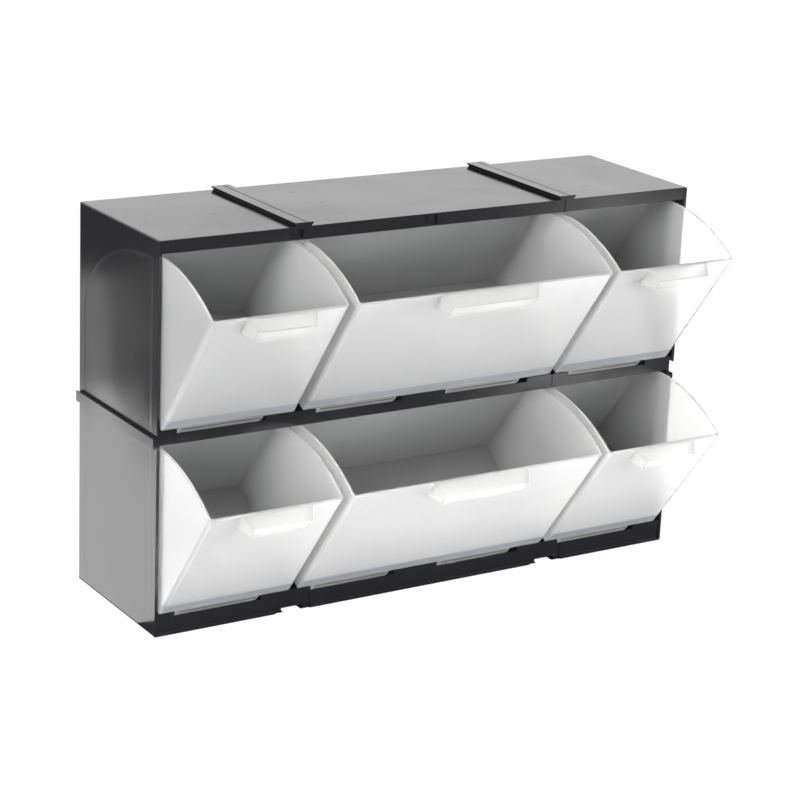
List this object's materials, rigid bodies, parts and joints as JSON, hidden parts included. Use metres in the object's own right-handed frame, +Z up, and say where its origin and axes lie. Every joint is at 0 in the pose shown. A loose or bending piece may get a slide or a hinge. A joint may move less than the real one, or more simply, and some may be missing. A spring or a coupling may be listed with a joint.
{
  "type": "tilt-bin parts cabinet",
  "caption": "Black open-fronted housing with rows of see-through bins that tip out at the top by hood handles, and dovetail rails and grooves to link cabinets.",
  "frame": {"origin": "centre of the housing's underside", "axes": "+X to the right seen from the front, +Y to the back, +Z up; the bins tip out towards -Y"},
  "size_m": [0.3019, 0.1383, 0.1941],
  "materials": {
    "housing_plastic": "glossy black polystyrene",
    "bin_plastic": "milky see-through polypropylene, satin"
  },
  "bodies": {
    "housing": {"housing": "housing_plastic"},
    "upper_left_bin": {"upper_left_bin": "bin_plastic"},
    "upper_middle_bin": {"upper_middle_bin": "bin_plastic"},
    "upper_right_bin": {"upper_right_bin": "bin_plastic"},
    "lower_left_bin": {"lower_left_bin": "bin_plastic"},
    "lower_middle_bin": {"lower_middle_bin": "bin_plastic"},
    "lower_right_bin": {"lower_right_bin": "bin_plastic"}
  },
  "joints": [
    {"name": "upper_left_tilt", "type": "hinge", "parent": "housing", "child": "upper_left_bin", "pos_m": [-0.11305, -0.0399, 0.10015], "axis": [-1, 0, 0], "range_deg": [0, 37.1]},
    {"name": "upper_middle_tilt", "type": "hinge", "parent": "housing", "child": "upper_middle_bin", "pos_m": [-0.0016, -0.0399, 0.10015], "axis": [-1, 0, 0], "range_deg": [0, 37.1]},
    {"name": "upper_right_tilt", "type": "hinge", "parent": "housing", "child": "upper_right_bin", "pos_m": [0.1088, -0.0399, 0.10015], "axis": [-1, 0, 0], "range_deg": [0, 37.1]},
    {"name": "lower_left_tilt", "type": "hinge", "parent": "housing", "child": "lower_left_bin", "pos_m": [-0.11305, -0.0399, 0.00935], "axis": [-1, 0, 0], "range_deg": [0, 38.2]},
    {"name": "lower_middle_tilt", "type": "hinge", "parent": "housing", "child": "lower_middle_bin", "pos_m": [-0.0016, -0.0399, 0.00935], "axis": [-1, 0, 0], "range_deg": [0, 38.2]},
    {"name": "lower_right_tilt", "type": "hinge", "parent": "housing", "child": "lower_right_bin", "pos_m": [0.1088, -0.0399, 0.00935], "axis": [-1, 0, 0], "range_deg": [0, 38.2]}
  ]
}
